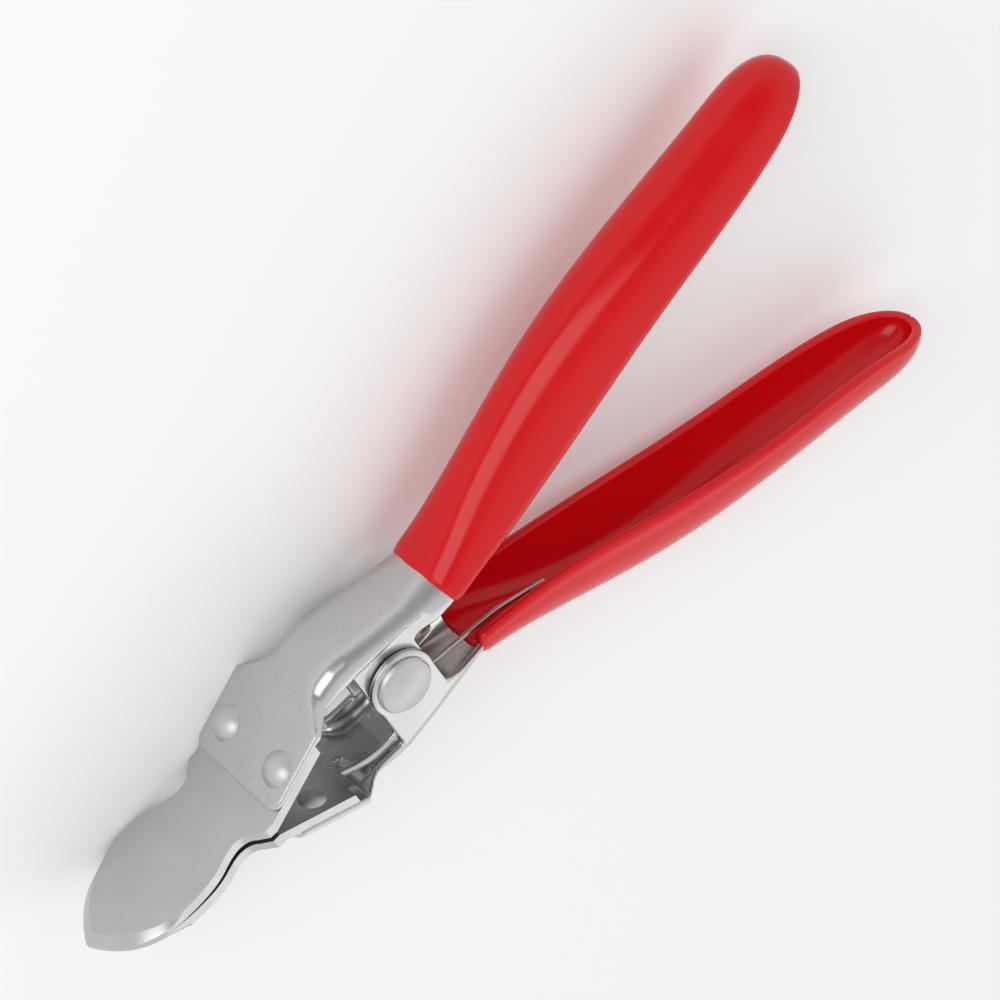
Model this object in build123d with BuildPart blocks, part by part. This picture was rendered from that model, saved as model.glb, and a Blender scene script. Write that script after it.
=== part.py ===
"""Sprung farrier's nipper with two stamped steel halves, in millimetres.

X runs along the tool, positive towards the handle ends.  Y is the direction in which
the jaws open.  Z is the pivot axis.  The origin is the middle of the pivot.
The upper half (positive y) is drawn.  The lower half is the same set of pieces turned
half a turn about X.  Squeezing the handles opens the jaws.
"""
from build123d import *
import math
import os

# Sheet metal, coating and clearances
SHEET = 1.4
VINYL = 0.8
SLIDE_GAP = 0.15
PIVOT_PLAY = 0.05

# Half-widths of the channel: outer face of the outer cheek and of the inner cheek
OUTER_CHEEK = 8.6
INNER_CHEEK = OUTER_CHEEK - SHEET - SLIDE_GAP

# Nose plate that carries the blade
NOSE_SLOPE = 24.8
NOSE_FRONT = -33.8
NOSE_FRONT_HEIGHT = 4.87
NOSE_REAR = -19.2
NOSE_HALF = 13.1
NOSE_CORNER = 2.4

# Blade
BLADE = 2.0
BLADE_TIP = -73.0
BLADE_HALF = 12.0
BLADE_WIDEST = -53.5
BEVEL_RUN_OUT = -54.5
BEVEL_END = -60.0
BEVEL_END_HALF = 11.6
BEVEL_WIDTH = 2.3
EDGE_THICKNESS = 0.5
WAIST = -41.8
WAIST_HALF = 9.4
TANG_HALF = 12.8
TANG_REAR = -20.1
BEND_REAR = -34.6
BEND_FRONT = -38.6
BLADE_RISE = 0.65
BLADE_MEET = -61.0

# Blade rivets
RIVET_X = -27.5
RIVET_Z = 8.4
RIVET_SHANK = 1.6
RIVET_HEAD = 3.5
RIVET_DOME = 1.85
RIVET_TAIL = 2.7
RIVET_TAIL_DOME = 0.9

# Pivot rivet
PIVOT_SHANK = 3.4
PIVOT_HEAD = 5.75
PIVOT_FACE = 5.35
PIVOT_HEAD_EDGE = 0.9
PIVOT_HEAD_FOOT = 0.4
PIVOT_DOME = 1.0
PIVOT_TAIL = 5.0

# Cheeks round the pivot
EAR_RADIUS = 7.0
EAR_FRONT = -6.6
EAR_REAR = 6.9
OUTER_WINDOW = 11.75
INNER_WINDOW = 10.2
OUTER_RIM = 8.6
INNER_RIM = 5.9
JOGGLE_TOP = 10.6
JOGGLE_BASE = 9.2
JOGGLE_REAR = 7.2
JOGGLE_FADE = 13.0
CHEEK_BASE = -13.0

# Handle: slope of its axis, where the coating starts, where it ends
HANDLE_SLOPE = 16.0
COATING_START = 17.5
HANDLE_END = 131.0
HANDLE_BASE = -6.0

# Spring
WIRE = 1.0
COIL_RADIUS = 4.5
COIL_HALF_LENGTH = 5.0
LEG_HEIGHT = 4.9
LEG_BEND_RADIUS = 4.0

NOSE_ANGLE = math.radians(NOSE_SLOPE)
NOSE_RISE = math.tan(NOSE_ANGLE)
NOSE_NORMAL = Vector(-math.sin(NOSE_ANGLE), math.cos(NOSE_ANGLE), 0)
ALONG_NOSE = Vector(math.cos(NOSE_ANGLE), math.sin(NOSE_ANGLE), 0)
HANDLE_ANGLE = math.radians(HANDLE_SLOPE)
ALONG_HANDLE = Vector(math.cos(HANDLE_ANGLE), math.sin(HANDLE_ANGLE), 0)
ACROSS_HANDLE = Vector(-math.sin(HANDLE_ANGLE), math.cos(HANDLE_ANGLE), 0)
WIDE = 30.0
HIGH = 30.0

# Outer skin of the channel: x, half-width, height of the back, corner radius
BODY_STATIONS = (
    (NOSE_REAR, NOSE_HALF, 11.6, 1.2),
    (-17.9, 12.7, 12.2, 1.6),
    (-16.6, 11.5, 12.8, 2.4),
    (-15.2, 10.1, 13.5, 3.2),
    (-13.7, 9.1, 14.2, 3.8),
    (-11.8, 8.7, 14.9, 4.0),
    (-9.0, OUTER_CHEEK, 15.4, 3.8),
    (-5.5, OUTER_CHEEK, 15.3, 3.6),
    (2.0, OUTER_CHEEK, 13.9, 3.6),
    (9.0, 8.5, 12.8, 4.2),
)
# Outer skin of the handle's sheet: distance along its axis, half-width, back, corner radius
HANDLE_STATIONS = (
    (19.0, 8.2, 7.8, 6.4),
    (30.0, 7.7, 9.5, 7.2),
    (46.0, 7.8, 12.1, 7.4),
    (64.0, 8.4, 14.2, 8.0),
    (84.0, 8.8, 13.6, 8.4),
    (104.0, 8.2, 11.2, 7.8),
    (120.0, 6.8, 9.2, 6.2),
    (HANDLE_END + 1.0, 4.4, 9.0, 3.8),
)
# Rim of the handle's sheet: distance along its axis, height; and its height at the end
RIM = ((22.0, 1.1), (34.0, 0.0), (50.0, 1.1), (66.0, 2.6), (84.0, 2.9), (102.0, 1.8), (117.0, 0.9))
TIP_HEIGHT = 7.8


def on_handle(along, across):
    """Point in the side view from its place along and across the handle's axis."""
    point = ALONG_HANDLE * along + ACROSS_HANDLE * across
    return (point.X, point.Y)


def under_nose(x, depth):
    """Point in the side view at a depth under the nose plate's outer face."""
    return (x, NOSE_FRONT_HEIGHT + NOSE_RISE * (x - NOSE_FRONT) - depth / NOSE_NORMAL.Y)


def outline(*points):
    """Closed straight-sided face in the side view."""
    with BuildSketch() as face:
        with BuildLine():
            Polyline(*points, close=True)
        make_face()
    return face.sketch


def slab(face, low, high):
    """A side-view face made solid between two z heights."""
    with BuildPart() as body:
        extrude(Plane.XY.offset(low) * face, amount=high - low)
    return body.part


def arch(plane, half, back, base, radius):
    """Channel section: straight sides, a flat back and two round corners."""
    with BuildSketch(plane) as section:
        with BuildLine():
            Polyline((-half, base), (-half, back), (half, back), (half, base), close=True)
        make_face()
        fillet(section.vertices().sort_by(lambda corner: corner.Y)[-2:], radius)
    return section.sketch


def body_section(station, inset, base):
    """Cross-section of the body, square to X."""
    x, half, back, radius = station
    plane = Plane(origin=(x, 0, 0), x_dir=(0, 0, 1), z_dir=(-1, 0, 0))
    return arch(plane, half - inset, back - inset, base, max(radius - inset, 0.3))


def handle_section(station, inset, base):
    """Cross-section of the handle, square to its axis."""
    along, half, back, radius = station
    plane = Plane(origin=ALONG_HANDLE * along, x_dir=(0, 0, 1), z_dir=ALONG_HANDLE * -1)
    return arch(plane, half - inset, back - inset, base, max(radius - inset, 0.3))


def channel_solid(inset, base_drop):
    """Closed solid inside the channel's outer skin, moved inwards by inset."""
    body_base = CHEEK_BASE - base_drop
    handle_base = HANDLE_BASE - base_drop
    body = [body_section(station, inset, body_base) for station in BODY_STATIONS]
    handle = [handle_section(station, inset, handle_base) for station in HANDLE_STATIONS]
    with BuildPart() as solid:
        loft(body + handle[:1], ruled=True)
        loft(handle)
    return solid.part


def channel(outset, inset):
    """Open channel between two offsets of the outer skin."""
    outer = channel_solid(-outset, 0.0)
    inner = channel_solid(inset, 2.0)
    with BuildPart() as skin:
        add(outer)
        add(inner, mode=Mode.SUBTRACT)
    return skin.part


def handle_outline(start, margin):
    """Side view of the handle: its rim lowered by margin, and its rounded end."""
    end = HANDLE_END - VINYL + margin
    rim_points = [on_handle(along, across - margin) for along, across in RIM]
    with BuildSketch() as face:
        with BuildLine():
            rim = Spline(*rim_points)
            lead = Line(on_handle(start, RIM[0][1] - margin), rim @ 0)
            corner = Spline(rim @ 1, on_handle(end, TIP_HEIGHT), tangents=(rim % 1, ACROSS_HANDLE))
            tail = Line(corner @ 1, on_handle(end, HIGH))
            top = Line(tail @ 1, on_handle(start, HIGH))
            Line(top @ 1, lead @ 0)
        make_face()
    return face.sketch


def cheek_outline(window, rim, rear_corner):
    """Side view of one cheek: window edge, front of the ear, rim up to the handle."""
    rim_start = on_handle(*RIM[0])
    return outline(
        under_nose(NOSE_REAR - 1.0, SHEET + 0.3),
        (NOSE_REAR + 1.8, window),
        (EAR_FRONT, window),
        (EAR_FRONT, 0.0),
        (EAR_REAR, 0.0),
        (EAR_REAR, rim - 1.0),
        (rear_corner, rim),
        (16.0, rim),
        rim_start,
        (rim_start[0] + 1.0, HIGH),
        (NOSE_REAR - 1.0, HIGH),
    )


def inner_cheek_outline():
    """Side view of the inner cheek: joggled wall, ear and the finger at its foot."""
    with BuildSketch() as face:
        with BuildLine():
            wall = Polyline(
                (EAR_FRONT, -9.6), (EAR_FRONT, JOGGLE_TOP + 0.4), (JOGGLE_REAR, JOGGLE_TOP + 0.4),
                (JOGGLE_REAR, INNER_RIM), (EAR_REAR, INNER_RIM - 1.0), (EAR_REAR, 0.5),
            )
            ear = ThreePointArc(wall @ 1, (4.6, -6.6), (-1.0, -10.6))
            lower = Spline(ear @ 1, (-7.0, -12.1), (-13.2, -11.2), (-19.0, -8.4))
            tip = ThreePointArc(lower @ 1, (-19.4, -7.6), (-18.7, -7.0))
            Spline(tip @ 1, (-12.5, -9.4), wall @ 0)
        make_face()
    return face.sketch


def inner_cheek(skin):
    """Cheek set in by one sheet thickness, below a joggle that runs along the channel."""
    wall = INNER_CHEEK - SHEET
    upper = OUTER_CHEEK - SHEET
    with BuildPart() as cheek:
        with BuildSketch(Plane.YZ.offset(-WIDE)):
            with BuildLine():
                Polyline(
                    (JOGGLE_TOP + 0.4, OUTER_CHEEK), (JOGGLE_TOP, OUTER_CHEEK),
                    (JOGGLE_BASE, INNER_CHEEK), (CHEEK_BASE, INNER_CHEEK), (CHEEK_BASE, wall),
                    (JOGGLE_BASE, wall), (JOGGLE_TOP, upper), (JOGGLE_TOP + 0.4, upper), close=True,
                )
            make_face()
        extrude(amount=2 * WIDE)
        add(slab(inner_cheek_outline(), 0, WIDE), mode=Mode.INTERSECT)
        add(joggle_fade())
        add(skin, mode=Mode.INTERSECT)
    return cheek.part


def joggle_fade():
    """Ramp that brings the inner cheek back out to the neck behind the ear."""
    front = JOGGLE_REAR - 0.4
    wall = INNER_CHEEK - SHEET
    with BuildPart() as fade:
        with BuildSketch(Plane.XZ.offset(-INNER_RIM + 1.0)):
            with BuildLine():
                Polyline(
                    (front, wall), (front, INNER_CHEEK), (JOGGLE_FADE, OUTER_CHEEK),
                    (JOGGLE_FADE, OUTER_CHEEK - SHEET), (front + 0.6, wall), close=True,
                )
            make_face()
        extrude(amount=-(JOGGLE_TOP - INNER_RIM + 1.0))
        step = outline(
            (front, JOGGLE_BASE), (JOGGLE_FADE, JOGGLE_TOP - 0.6), (JOGGLE_FADE, JOGGLE_TOP + 0.8),
            (front, JOGGLE_TOP + 0.4),
        )
        add(slab(step, OUTER_CHEEK - 2 * SHEET, OUTER_CHEEK - 0.3))
        add(slab(cheek_outline(INNER_WINDOW, INNER_RIM, JOGGLE_REAR + 1.3), 0, WIDE),
            mode=Mode.INTERSECT)
    return fade.part


def nose_plane():
    """Plane on the nose plate's outer face at the blade rivets."""
    x, y = under_nose(RIVET_X, 0)
    return Plane(origin=(x, y, 0), x_dir=ALONG_NOSE, z_dir=NOSE_NORMAL)


def nose_plate():
    """Flat plate with two rounded front corners."""
    front = (NOSE_FRONT - RIVET_X) / ALONG_NOSE.X
    rear = (NOSE_REAR + 0.5 - RIVET_X) / ALONG_NOSE.X
    with BuildPart() as plate:
        with BuildSketch(nose_plane()) as face:
            with Locations(((front + rear) / 2, 0)):
                Rectangle(rear - front, 2 * NOSE_HALF)
            fillet(face.vertices().sort_by(Axis.X)[:2], NOSE_CORNER)
        extrude(amount=-SHEET)
    return plate.part


def half_shell():
    """One stamping: nose plate, shoulder, cheeks with their ears, and handle."""
    skin = channel_solid(0.0, 0.0)
    handle = slab(handle_outline(RIM[0][0] - 3.0, 0.0), -WIDE, WIDE)
    outer = slab(cheek_outline(OUTER_WINDOW, OUTER_RIM, 9.6), -WIDE, 0)
    inner = slab(cheek_outline(INNER_WINDOW, INNER_RIM, JOGGLE_REAR + 1.3), 0, WIDE)
    joggled = outline(
        (EAR_FRONT, -WIDE), (JOGGLE_FADE, -WIDE), (JOGGLE_FADE, JOGGLE_TOP), (EAR_FRONT, JOGGLE_TOP)
    )
    with BuildPart() as kept:
        add(handle)
        add(outer)
        add(inner)
        with BuildSketch():
            Circle(EAR_RADIUS)
        extrude(amount=-WIDE)
    with BuildPart() as shell:
        add(channel(0.0, SHEET))
        add(kept.part, mode=Mode.INTERSECT)
        add(slab(joggled, INNER_CHEEK - SHEET - 1.0, WIDE), mode=Mode.SUBTRACT)
        add(inner_cheek(skin))
        add(nose_plate())
        with BuildSketch():
            Circle(PIVOT_SHANK + PIVOT_PLAY)
        extrude(amount=WIDE, both=True, mode=Mode.SUBTRACT)
        with BuildSketch(nose_plane()):
            with GridLocations(1.0, 2 * RIVET_Z, 1, 2):
                Circle(RIVET_SHANK)
        extrude(amount=4.0, both=True, mode=Mode.SUBTRACT)
    return shell.part


def grip(metal):
    """Vinyl coating of the handle, inside and outside the sheet."""
    with BuildPart() as coating:
        add(channel(VINYL, SHEET + VINYL))
        add(slab(handle_outline(COATING_START, VINYL), -WIDE, WIDE), mode=Mode.INTERSECT)
        add(metal, mode=Mode.SUBTRACT)
    return coating.part


def blade_side():
    """Side view of the blade: tang on the nose plate, bend, and nearly flat leaf."""
    return outline(
        under_nose(TANG_REAR, SHEET),
        under_nose(BEND_REAR, SHEET),
        (BEND_FRONT, BLADE_RISE + BLADE),
        (BLADE_MEET, BLADE),
        (BLADE_TIP, BLADE),
        (BLADE_TIP, 0.0),
        (BLADE_MEET, 0.0),
        (BEND_FRONT, BLADE_RISE),
        under_nose(BEND_REAR - 0.4, SHEET + BLADE),
        under_nose(TANG_REAR, SHEET + BLADE),
    )


def blade_plan():
    """Plan of the blade: pointed leaf, waist and tang."""
    with BuildSketch(Plane.XZ) as plan:
        with BuildLine():
            tip = Spline((BLADE_TIP, 0), (-70.8, 4.1), (-67.7, 7.8), (-64.0, 10.3),
                         (BEVEL_END, BEVEL_END_HALF))
            leaf = Spline(tip @ 1, (BLADE_WIDEST, BLADE_HALF), (-47.5, 11.1), (WAIST, WAIST_HALF),
                          (-38.6, 11.0), tangents=(tip % 1, Vector(0.7, 1)))
            Polyline(leaf @ 1, (-36.6, TANG_HALF), (TANG_REAR, TANG_HALF), (TANG_REAR, 0), tip @ 0)
        make_face()
        mirror(about=Plane.XZ)
    return plan.sketch


def ground_outline(height, points):
    """Plan of the blade's front at one height, from the bevel's run-out to the tip."""
    mirrored = [(x, -z) for x, z in points]
    with BuildSketch(Plane.XZ.offset(-height)) as plan:
        with BuildLine():
            near = Spline(*points)
            far = Spline(*mirrored)
            Line(near @ 0, far @ 0)
        make_face()
    return plan.sketch


def bevel_cutter():
    """Material ground off the top of the blade round its tip."""
    run_out = (BEVEL_RUN_OUT, BLADE_HALF + 0.4)
    edge = (run_out, (BEVEL_END, BEVEL_END_HALF + 0.2), (-64.0, 10.5), (-67.7, 8.0), (-70.8, 4.3),
            (BLADE_TIP - 0.1, 0))
    top = (run_out, (-62.5, 9.5), (-68.2, 4.3), (BLADE_TIP + BEVEL_WIDTH, 0))
    with BuildPart() as kept:
        loft([ground_outline(EDGE_THICKNESS, edge), ground_outline(BLADE + 0.1, top)])
    with BuildPart() as cutter:
        with BuildSketch(Plane.XZ.offset(-EDGE_THICKNESS)):
            with Locations((BLADE_TIP, 0)):
                Rectangle(2 * (BEVEL_RUN_OUT - BLADE_TIP), WIDE)
        extrude(amount=-(BLADE + 0.1 - EDGE_THICKNESS))
        add(kept.part, mode=Mode.SUBTRACT)
    return cutter.part


def blade():
    """Upper blade with a ground bevel round its tip."""
    with BuildPart() as body:
        extrude(blade_plan(), amount=WIDE, both=True)
        add(slab(blade_side(), -WIDE, WIDE), mode=Mode.INTERSECT)
        add(bevel_cutter(), mode=Mode.SUBTRACT)
        with BuildSketch(nose_plane()):
            with GridLocations(1.0, 2 * RIVET_Z, 1, 2):
                Circle(RIVET_SHANK)
        extrude(amount=8.0, both=True, mode=Mode.SUBTRACT)
    return body.part


def blade_rivet(z):
    """Domed rivet through the nose plate and the tang."""
    centre = nose_plane().origin + Vector(0, 0, z)
    foot = -(SHEET + BLADE)
    half_section = Plane(origin=centre, x_dir=(0, 0, 1), z_dir=ALONG_NOSE * -1)
    with BuildPart() as rivet:
        with BuildSketch(half_section):
            with BuildLine():
                dome = TangentArc((0, RIVET_DOME), (RIVET_HEAD, 0), tangent=(1, 0))
                shank = Polyline(dome @ 1, (RIVET_SHANK, 0), (RIVET_SHANK, foot), (RIVET_TAIL, foot))
                tail = TangentArc((0, foot - RIVET_TAIL_DOME), shank @ 1, tangent=(1, 0))
                Line(tail @ 0, dome @ 0)
            make_face()
        revolve(axis=Axis(centre, NOSE_NORMAL))
    return rivet.part


def pivot_rivet():
    """Shank through the four cheeks, thin domed head and spread tail."""
    edge = OUTER_CHEEK + PIVOT_HEAD_EDGE
    top = edge + PIVOT_DOME
    foot = OUTER_CHEEK + PIVOT_HEAD_FOOT
    with BuildPart() as rivet:
        with BuildSketch(Plane.XZ):
            with BuildLine():
                head = TangentArc((0, top), (PIVOT_FACE, edge), tangent=(1, 0))
                body = Polyline(
                    head @ 1, (PIVOT_HEAD, foot), (PIVOT_HEAD, OUTER_CHEEK), (PIVOT_SHANK, OUTER_CHEEK),
                    (PIVOT_SHANK, -OUTER_CHEEK), (PIVOT_TAIL, -OUTER_CHEEK), (PIVOT_TAIL, -edge),
                )
                tail = TangentArc((0, -top), body @ 1, tangent=(1, 0))
                Line(tail @ 0, head @ 0)
            make_face()
        revolve(axis=Axis.Z)
    return rivet.part


def spring_leg():
    """Bent leg from the coil's end into the lower handle."""
    with BuildLine() as route:
        FilletPolyline(
            (-0.4, 0.05 - COIL_RADIUS, LEG_HEIGHT), (8.0, -5.25, LEG_HEIGHT),
            (23.1, -7.2, 4.8), (33.5, -11.1, 4.7), radius=LEG_BEND_RADIUS,
        )
    with BuildPart() as leg:
        with BuildSketch(Plane(origin=route.line @ 0, z_dir=route.line % 0)):
            Circle(WIRE / 2)
        sweep(path=route.line)
    return leg.part


def torsion_spring():
    """Coil round the pivot rivet, with one leg in each handle."""
    leg = spring_leg()
    with BuildPart() as spring:
        with BuildSketch():
            Circle(COIL_RADIUS + WIRE / 2)
            Circle(COIL_RADIUS - WIRE / 2, mode=Mode.SUBTRACT)
        extrude(amount=COIL_HALF_LENGTH + WIRE / 2, both=True)
        add(leg)
        add(leg, rotation=(180, 0, 0))
    return spring.part


def turned(piece):
    """The same piece turned half a turn about X."""
    with BuildPart() as other:
        add(piece, rotation=(180, 0, 0))
    return other.part


def save(name, piece):
    """Label a finished piece and write its STEP file."""
    piece.label = name
    export_step(piece, f"parts/{name}.step")


os.makedirs("parts", exist_ok=True)
shell = half_shell()
coating = grip(shell)
cutter = blade()
save("upper_half", shell)
save("upper_grip", coating)
save("upper_blade", cutter)
save("upper_front_rivet", blade_rivet(-RIVET_Z))
save("upper_back_rivet", blade_rivet(RIVET_Z))
save("lower_half", turned(shell))
save("lower_grip", turned(coating))
save("lower_blade", turned(cutter))
save("lower_front_rivet", turned(blade_rivet(RIVET_Z)))
save("lower_back_rivet", turned(blade_rivet(-RIVET_Z)))
save("pivot_rivet", pivot_rivet())
save("torsion_spring", torsion_spring())
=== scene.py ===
import math

import bmesh
import bpy
from mathutils import Matrix, Vector


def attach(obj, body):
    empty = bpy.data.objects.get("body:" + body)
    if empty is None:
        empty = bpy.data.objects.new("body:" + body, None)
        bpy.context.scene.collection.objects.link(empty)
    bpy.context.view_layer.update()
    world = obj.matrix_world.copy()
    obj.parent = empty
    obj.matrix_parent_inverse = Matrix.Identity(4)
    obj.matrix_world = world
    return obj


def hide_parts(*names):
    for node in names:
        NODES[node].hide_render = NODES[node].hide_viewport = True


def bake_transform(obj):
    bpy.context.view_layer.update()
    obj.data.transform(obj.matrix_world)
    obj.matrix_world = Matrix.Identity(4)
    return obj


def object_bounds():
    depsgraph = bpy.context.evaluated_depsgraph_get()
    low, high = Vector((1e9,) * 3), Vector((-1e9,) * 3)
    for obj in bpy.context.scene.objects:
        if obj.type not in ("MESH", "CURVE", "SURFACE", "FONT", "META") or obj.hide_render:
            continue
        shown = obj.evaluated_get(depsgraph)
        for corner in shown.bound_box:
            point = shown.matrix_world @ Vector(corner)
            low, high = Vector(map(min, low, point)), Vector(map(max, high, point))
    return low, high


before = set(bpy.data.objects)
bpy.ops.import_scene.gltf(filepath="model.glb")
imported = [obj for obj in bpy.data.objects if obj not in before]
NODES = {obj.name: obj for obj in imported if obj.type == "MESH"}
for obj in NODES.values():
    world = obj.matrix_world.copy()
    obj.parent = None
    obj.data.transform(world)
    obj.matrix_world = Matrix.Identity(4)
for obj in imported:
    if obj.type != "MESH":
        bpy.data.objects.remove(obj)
cad_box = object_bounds()

MM = 0.001

# Handle: its axis in the side view, and where the soft coating starts and ends (mm)
HANDLE_ANGLE = math.radians(16.0)
ALONG = Vector((math.cos(HANDLE_ANGLE), math.sin(HANDLE_ANGLE), 0.0))
ACROSS = Vector((-math.sin(HANDLE_ANGLE), math.cos(HANDLE_ANGLE), 0.0))
COATING_START = 17.5
COATING_END = 132.2
COATED_THICKNESS = 2.8
SHEET_CUT = 24.0

# Grip sections (mm): distance along the handle, half-width, back, rim, fullness of the section
GRIP_SECTIONS = (
    (COATING_START, 9.0, 8.4, 0.4, 2.7),
    (24.0, 8.7, 9.0, 0.0, 2.5),
    (32.0, 8.5, 10.6, -0.8, 2.3),
    (40.0, 8.5, 12.0, -1.0, 2.2),
    (50.0, 8.7, 13.5, -0.8, 2.15),
    (62.0, 9.2, 14.6, -0.1, 2.1),
    (74.0, 9.5, 14.5, 0.4, 2.1),
    (86.0, 9.6, 13.5, 0.4, 2.1),
    (98.0, 9.4, 12.2, -0.2, 2.1),
    (110.0, 8.9, 11.0, -0.8, 2.1),
    (118.0, 8.5, 10.3, -0.7, 2.1),
    (124.0, 8.2, 9.9, -0.1, 2.1),
    (COATING_END, 7.9, 9.8, 1.2, 2.1),
)
GRIP_ROWS = 64
GRIP_COLUMNS = 20
ROW_CROWDING = 2.2
RIM_WIDTH = 2.2

# Rounded end of the grip: where it starts to close (mm), its fullness, the least that the
# closing value may be so that the last row keeps a size, and the width of its rim (mm)
TIP_START = 118.0
TIP_POWER = 2.5
TIP_LEAST = 0.00001
TIP_WIDTH = 1.8

# Spring (mm): wire, coil and the leg that lies in the lower handle
WIRE = 1.0
COIL_RADIUS = 4.5
COIL_END = 4.9
COIL_TURNS = 9.5
COIL_STEPS = 20
WIRE_FACETS = 4
LEG_POINTS = (
    (3.0, -4.6, 4.9),
    (8.0, -5.25, 4.9),
    (21.6, -7.0, 4.8),
    (24.4, -7.7, 4.8),
    (33.5, -11.1, 4.7),
)

# Rebuilt sheet metal: tolerances and cell size (mm), then how much and how often it is eased
WELD = 0.002
CUT_TOLERANCE = 0.001
VOXEL = 0.17
EASING = 0.5
ROUNDING = 44

# Materials: noise scales, which count cells per metre, and bump distances (m)
CLOUD_SCALE = 90.0
SCRATCH_GRAIN = (380.0, 2600.0, 900.0)
SCRATCH_LEVELS = (0.64, 0.7)
SCRATCH_DEPTH = 0.005
GRAIN_DISTANCE = 0.00002
SCRATCH_DISTANCE = 0.00001
SWELL_DISTANCE = 0.0003
FLOW_SCALE = 26.0
RUB_SCALE = 120.0
PIT_SCALE = 2400.0
EVEN = (1.0, 1.0, 1.0)

# Floor and camera (m); the lens is in mm
FLOOR_SIZE = 6.0
FLOOR_TONE = 0.93
FLOOR_ROUGHNESS = 0.9
CAMERA_PLACE = (-0.06312, 0.44566, 0.40203)
CAMERA_RIGHT = (0.7048, -0.3864, 0.5949)
CAMERA_UP = (0.6899, 0.5685, -0.4482)
LENS = 118.5

# Studio: direction of the dark patch, the cosines at its edge, and the two levels around the tool
DARK_PATCH = (-0.165, 0.726, 0.667)
PATCH_START = 0.55
PATCH_FULL = 0.95
PALE = 0.93
DIM = 0.22


def noise_node(tree, scale, stretch, detail=6.0, roughness=0.6):
    """Noise that follows the object, stretched by a factor along each axis."""
    nodes, links = tree.nodes, tree.links
    place = nodes.new("ShaderNodeTexCoord")
    mapping = nodes.new("ShaderNodeMapping")
    mapping.inputs["Scale"].default_value = stretch
    noise = nodes.new("ShaderNodeTexNoise")
    noise.inputs["Scale"].default_value = scale
    noise.inputs["Detail"].default_value = detail
    noise.inputs["Roughness"].default_value = roughness
    links.new(place.outputs["Object"], mapping.inputs["Vector"])
    links.new(mapping.outputs["Vector"], noise.inputs["Vector"])
    return noise.outputs["Fac"]


def ramp(tree, value, low, high, start=0.3, end=0.7):
    """Maps a noise value to a number or colour between low and high."""
    node = tree.nodes.new("ShaderNodeValToRGB")
    node.color_ramp.elements[0].position = start
    node.color_ramp.elements[1].position = end
    for element, level in zip(node.color_ramp.elements, (low, high)):
        element.color = (*level, 1.0) if isinstance(level, tuple) else (level, level, level, 1.0)
    tree.links.new(value, node.inputs["Fac"])
    return node.outputs["Color"]


def bump(tree, value, strength, distance, under=None):
    """Bump from a value, on top of another bump if one is given."""
    node = tree.nodes.new("ShaderNodeBump")
    node.inputs["Strength"].default_value = strength
    node.inputs["Distance"].default_value = distance
    tree.links.new(value, node.inputs["Height"])
    if under is not None:
        tree.links.new(under, node.inputs["Normal"])
    return node.outputs["Normal"]


def principled(name):
    """New node material: returns it, its tree and its shader."""
    material = bpy.data.materials.new(name)
    material.use_nodes = True
    tree = material.node_tree
    return material, tree, tree.nodes["Principled BSDF"]


def metal(name, dark, light, smooth, rough, grain, grain_depth):
    """Satin metal: cloudy tone, directional grain in roughness and bump, fine handling scratches."""
    material, tree, shader = principled(name)
    shader.inputs["Metallic"].default_value = 1.0
    clouds = noise_node(tree, CLOUD_SCALE, EVEN, detail=4.0)
    brushed = noise_node(tree, 1.0, grain, detail=3.0, roughness=0.7)
    scratches = noise_node(tree, 1.0, SCRATCH_GRAIN, detail=2.0)
    tree.links.new(ramp(tree, clouds, dark, light), shader.inputs["Base Color"])
    tree.links.new(ramp(tree, brushed, smooth, rough), shader.inputs["Roughness"])
    lines = bump(tree, brushed, grain_depth, GRAIN_DISTANCE)
    marks = ramp(tree, scratches, 0.0, 1.0, *SCRATCH_LEVELS)
    worn = bump(tree, marks, SCRATCH_DEPTH, SCRATCH_DISTANCE, lines)
    tree.links.new(worn, shader.inputs["Normal"])
    return material


def vinyl():
    """Glossy dipped vinyl: deep red, a faint flow pattern, soft wear and fine dust pits."""
    material, tree, shader = principled("red_vinyl")
    flow = noise_node(tree, FLOW_SCALE, (0.35, 1.0, 1.0), detail=3.0)
    rub = noise_node(tree, RUB_SCALE, EVEN, detail=5.0)
    pits = noise_node(tree, PIT_SCALE, EVEN, detail=1.0)
    tone = ramp(tree, flow, (0.58, 0.002, 0.005), (0.66, 0.003, 0.007))
    tree.links.new(tone, shader.inputs["Base Color"])
    tree.links.new(ramp(tree, rub, 0.17, 0.24), shader.inputs["Roughness"])
    shader.inputs["IOR"].default_value = 1.5
    shader.inputs["Specular IOR Level"].default_value = 0.3
    shader.inputs["Coat Weight"].default_value = 0.06
    shader.inputs["Coat Roughness"].default_value = 0.1
    swell = bump(tree, flow, 0.05, SWELL_DISTANCE)
    pitted = bump(tree, pits, 0.015, GRAIN_DISTANCE, swell)
    tree.links.new(pitted, shader.inputs["Normal"])
    return material


def finish_piece(piece, material, body):
    """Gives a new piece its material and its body."""
    piece.data.materials.clear()
    piece.data.materials.append(material)
    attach(piece, body)


def new_object(name, mesh):
    """Object at the origin for a mesh in the shared frame."""
    piece = bpy.data.objects.new(name, mesh)
    bpy.context.scene.collection.objects.link(piece)
    return piece


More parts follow.
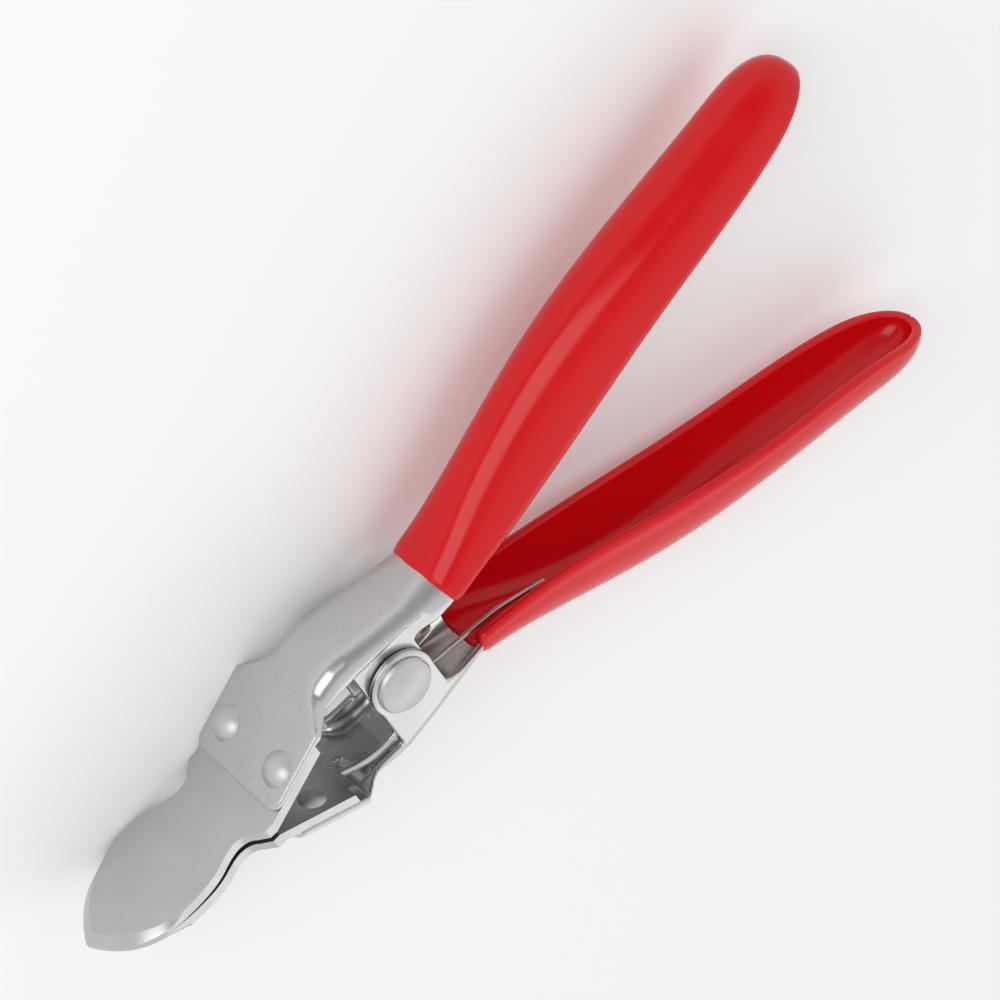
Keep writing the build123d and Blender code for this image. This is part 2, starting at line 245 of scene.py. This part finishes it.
def smooth_value(table, column, along):
    """Value of a column at a distance along the handle, on a smooth curve through the rows."""
    last = len(table) - 1
    index = 0
    while index < last - 1 and along > table[index + 1][0]:
        index += 1
    before, left, right, after = (table[max(0, min(last, index + step))] for step in (-1, 0, 1, 2))
    span = right[0] - left[0]
    t = (along - left[0]) / span
    slope_left = (right[column] - before[column]) / (right[0] - before[0]) * span
    slope_right = (after[column] - left[column]) / (after[0] - left[0]) * span
    return (
        left[column] * (2 * t**3 - 3 * t**2 + 1)
        + slope_left * (t**3 - 2 * t**2 + t)
        + right[column] * (3 * t**2 - 2 * t**3)
        + slope_right * (t**3 - t**2)
    )


def grip_row(bm, along, inner):
    """One row of points over the arch, on the outer or the inner surface, closing at the tip."""
    half, back, rim, fullness = (smooth_value(GRIP_SECTIONS, c, along) for c in (1, 2, 3, 4))
    depth = back - rim
    end = COATING_END
    if inner:
        end -= TIP_WIDTH
        share = (along - COATING_START) * (end - COATING_START) / (COATING_END - COATING_START)
        along = COATING_START + share
        half -= RIM_WIDTH
        depth -= COATED_THICKNESS
    closing = max(0.0, (along - TIP_START) / (end - TIP_START))
    close = max(TIP_LEAST, 1 - closing**TIP_POWER) ** (1 / TIP_POWER)
    half *= close
    depth *= close
    row = []
    for column in range(GRIP_COLUMNS + 1):
        turn = math.pi * (column / GRIP_COLUMNS - 0.5)
        side = math.copysign(abs(math.sin(turn)) ** (2 / fullness), turn)
        lift = max(0.0, math.cos(turn)) ** (2 / fullness)
        point = ALONG * along + ACROSS * (rim + depth * lift)
        row.append(bm.verts.new(Vector((point.x, point.y, half * side)) * MM))
    return row


def grip_mesh(name):
    """Upper grip: an arched scoop, open along its inner side and round at its end."""
    bm = bmesh.new()
    skins = []
    for inner in (False, True):
        rows = []
        for row in range(GRIP_ROWS + 1):
            part = 1 - (1 - row / GRIP_ROWS) ** ROW_CROWDING
            rows.append(grip_row(bm, COATING_START + (COATING_END - COATING_START) * part, inner))
        for near, far in zip(rows, rows[1:]):
            for column in range(GRIP_COLUMNS):
                bm.faces.new((near[column], near[column + 1], far[column + 1], far[column]))
        skins.append(rows)
    outer, inner = skins
    for column in (0, GRIP_COLUMNS):
        for row in range(GRIP_ROWS):
            bm.faces.new((outer[row][column], outer[row + 1][column],
                          inner[row + 1][column], inner[row][column]))
    for row in (0, GRIP_ROWS):
        for column in range(GRIP_COLUMNS):
            bm.faces.new((outer[row][column], outer[row][column + 1],
                          inner[row][column + 1], inner[row][column]))
    bmesh.ops.recalc_face_normals(bm, faces=bm.faces)
    mesh = bpy.data.meshes.new(name)
    bm.to_mesh(mesh)
    bm.free()
    return mesh


def add_grip(name, body, node, turn, material):
    """One grip, shown in place of its CAD node."""
    mesh = grip_mesh(name)
    mesh.transform(turn)
    mesh.shade_smooth()
    piece = new_object(name, mesh)
    soft = piece.modifiers.new("soft", "SUBSURF")
    soft.levels = 2
    soft.render_levels = 2
    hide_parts(node)
    finish_piece(piece, material, body)


def add_pressing(name, body, node, turn, material):
    """One pressed half: the CAD solid rebuilt as one even skin with softened edges and bends."""
    bm = bmesh.new()
    bm.from_mesh(NODES[node].data)
    bmesh.ops.remove_doubles(bm, verts=bm.verts, dist=WELD * MM)
    plane_point = turn @ (ALONG * SHEET_CUT * MM)
    plane_normal = turn.to_3x3() @ ALONG
    cut = bmesh.ops.bisect_plane(
        bm, geom=bm.verts[:] + bm.edges[:] + bm.faces[:], dist=CUT_TOLERANCE * MM,
        plane_co=plane_point, plane_no=plane_normal, clear_outer=True,
    )
    open_edges = [item for item in cut["geom_cut"] if isinstance(item, bmesh.types.BMEdge)]
    bmesh.ops.contextual_create(bm, geom=open_edges)
    mesh = bpy.data.meshes.new(name)
    bm.to_mesh(mesh)
    bm.free()
    mesh.shade_smooth()
    piece = new_object(name, mesh)
    skin = piece.modifiers.new("skin", "REMESH")
    skin.mode = "VOXEL"
    skin.voxel_size = VOXEL * MM
    skin.use_smooth_shade = True
    ease = piece.modifiers.new("ease", "SMOOTH")
    ease.factor = EASING
    ease.iterations = ROUNDING
    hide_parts(node)
    finish_piece(piece, material, body)


def spring_points():
    """Centre line of the wire in mm: upper leg, coil, lower leg."""
    lower_leg = [Vector(point) for point in LEG_POINTS]
    upper_leg = [Vector((p.x, -p.y, -p.z)) for p in reversed(lower_leg)]
    coil = []
    steps = int(COIL_TURNS * COIL_STEPS)
    for step in range(steps + 1):
        angle = math.pi / 2 + 2 * math.pi * step / COIL_STEPS
        height = COIL_END * (2 * step / steps - 1)
        coil.append(Vector((COIL_RADIUS * math.cos(angle), COIL_RADIUS * math.sin(angle), height)))
    return upper_leg + coil + lower_leg


def add_spring(material):
    """Wound spring with a bent leg in each handle."""
    curve = bpy.data.curves.new("wound_spring", "CURVE")
    curve.dimensions = "3D"
    curve.bevel_depth = WIRE / 2 * MM
    curve.bevel_resolution = WIRE_FACETS
    curve.resolution_u = WIRE_FACETS
    curve.use_fill_caps = True
    points = spring_points()
    line = curve.splines.new("NURBS")
    line.points.add(len(points) - 1)
    for point, place in zip(line.points, points):
        point.co = (*(place * MM), 1.0)
    line.order_u = 3
    line.use_endpoint_u = True
    holder = bpy.data.objects.new("spring_line", curve)
    mesh = bpy.data.meshes.new_from_object(holder)
    mesh.name = "wound_spring"
    bpy.data.objects.remove(holder)
    mesh.shade_smooth()
    piece = new_object("wound_spring", mesh)
    piece.data.materials.append(material)
    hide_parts("torsion_spring")
    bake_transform(piece)


def add_floor(height):
    """Plain pale floor that the tool lies on."""
    bpy.ops.mesh.primitive_plane_add(size=FLOOR_SIZE, location=(0, 0, height))
    floor = bpy.context.object
    floor.name = "floor"
    material, _, shader = principled("floor")
    shader.inputs["Base Color"].default_value = (FLOOR_TONE, FLOOR_TONE, FLOOR_TONE, 1.0)
    shader.inputs["Roughness"].default_value = FLOOR_ROUGHNESS
    floor.data.materials.append(material)


def area_light(name, place, aim, size, size_y, power):
    """Soft rectangular lamp aimed at a point."""
    lamp = bpy.data.lights.new(name, "AREA")
    lamp.shape = "RECTANGLE"
    lamp.size = size
    lamp.size_y = size_y
    lamp.energy = power
    holder = bpy.data.objects.new(name, lamp)
    holder.location = place
    holder.rotation_euler = (Vector(aim) - Vector(place)).to_track_quat("-Z", "Y").to_euler()
    bpy.context.scene.collection.objects.link(holder)


def studio_world():
    """Pale surroundings with a darker patch high on the lit side, as in a light tent."""
    world = bpy.data.worlds.new("studio")
    world.use_nodes = True
    tree = world.node_tree
    place = tree.nodes.new("ShaderNodeTexCoord")
    toward = tree.nodes.new("ShaderNodeVectorMath")
    toward.operation = "DOT_PRODUCT"
    toward.inputs[1].default_value = DARK_PATCH
    tree.links.new(place.outputs["Generated"], toward.inputs[0])
    shade = ramp(tree, toward.outputs["Value"], PALE, DIM, PATCH_START, PATCH_FULL)
    tree.links.new(shade, tree.nodes["Background"].inputs["Color"])
    bpy.context.scene.world = world


def camera_at(place, right, up, lens):
    """Camera with the given axes; it looks against their cross product."""
    right = Vector(right).normalized()
    back = right.cross(Vector(up)).normalized()
    true_up = back.cross(right)
    data = bpy.data.cameras.new("camera")
    data.lens = lens
    data.sensor_width = 36.0
    data.clip_start = 0.01
    data.clip_end = 20.0
    holder = bpy.data.objects.new("camera", data)
    turn = Matrix((right, true_up, back)).transposed().to_4x4()
    holder.matrix_world = Matrix.Translation(Vector(place)) @ turn
    bpy.context.scene.collection.objects.link(holder)
    bpy.context.scene.camera = holder


UPRIGHT = Matrix.Identity(4)
TURNED = Matrix.Rotation(math.pi, 4, "X")

sheet = metal(
    "plated_sheet", dark=(0.53, 0.53, 0.527), light=(0.57, 0.57, 0.565),
    smooth=0.25, rough=0.31, grain=(120.0, 900.0, 900.0), grain_depth=0.02,
)
blade_steel = metal(
    "blade_steel", dark=(0.50, 0.50, 0.50), light=(0.55, 0.55, 0.55),
    smooth=0.26, rough=0.36, grain=(260.0, 400.0, 2600.0), grain_depth=0.25,
)
rivet_steel = metal(
    "rivet_steel", dark=(0.52, 0.52, 0.515), light=(0.60, 0.60, 0.59),
    smooth=0.44, rough=0.52, grain=(700.0, 700.0, 700.0), grain_depth=0.08,
)
wire_steel = metal(
    "spring_wire", dark=(0.42, 0.40, 0.37), light=(0.54, 0.52, 0.48),
    smooth=0.22, rough=0.34, grain=(200.0, 2400.0, 2400.0), grain_depth=0.15,
)
red = vinyl()

add_pressing("upper_pressing", "upper", "upper_half", UPRIGHT, sheet)
add_pressing("lower_pressing", "lower", "lower_half", TURNED, sheet)
add_grip("upper_coating", "upper", "upper_grip", UPRIGHT, red)
add_grip("lower_coating", "lower", "lower_grip", TURNED, red)
add_spring(wire_steel)

for node, material in (
    ("upper_blade", blade_steel), ("lower_blade", blade_steel),
    ("upper_front_rivet", rivet_steel), ("upper_back_rivet", rivet_steel),
    ("lower_front_rivet", rivet_steel), ("lower_back_rivet", rivet_steel),
    ("pivot_rivet", rivet_steel),
):
    NODES[node].data.materials.clear()
    NODES[node].data.materials.append(material)

add_floor(cad_box[0][2])
studio_world()
area_light("key", (-0.45, 0.85, 0.75), aim=(0.02, 0.0, 0.0), size=0.9, size_y=0.9, power=6.5)
area_light("back", (0.1, -0.6, 0.45), aim=(0.04, 0.0, 0.0), size=0.8, size_y=0.2, power=0.4)
camera_at(CAMERA_PLACE, CAMERA_RIGHT, CAMERA_UP, LENS)
bpy.context.scene.view_settings.view_transform = "Standard"

bpy.context.view_layer.update()
